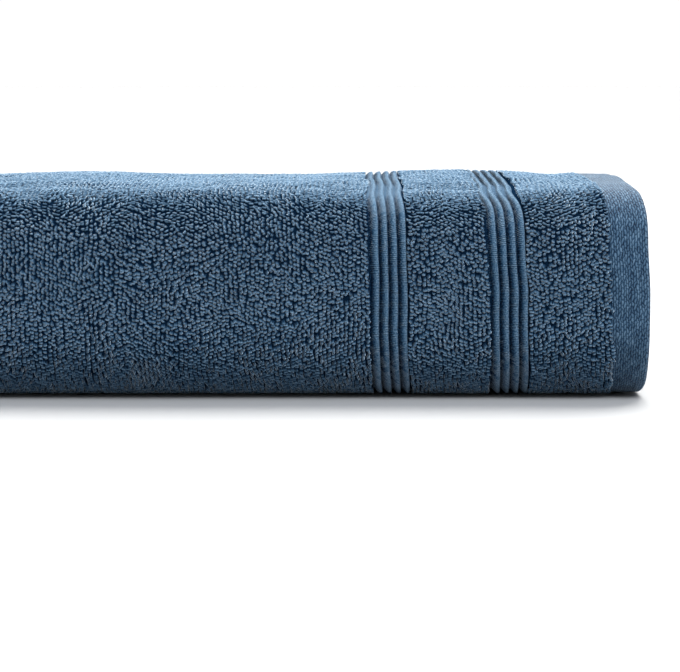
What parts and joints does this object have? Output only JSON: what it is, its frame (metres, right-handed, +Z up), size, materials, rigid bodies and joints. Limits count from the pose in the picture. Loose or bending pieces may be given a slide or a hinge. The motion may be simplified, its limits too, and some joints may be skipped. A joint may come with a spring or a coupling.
{
  "type": "folded bath towel",
  "caption": "Folded terry bath towel with ribbed woven borders, a flat hem at one end and a rounded front fold.",
  "frame": {"origin": "on the surface, under the middle of the folded towel's bounding box", "axes": "+X along the folded length, towards the end with the outer hem; -Y towards the smooth front fold; +Z up through the layers"},
  "size_m": [0.3604, 0.235, 0.093],
  "materials": {
    "terry": "looped cotton pile, matt, blue"
  },
  "bodies": {
    "root": {"towel": "terry"}
  },
  "joints": []
}
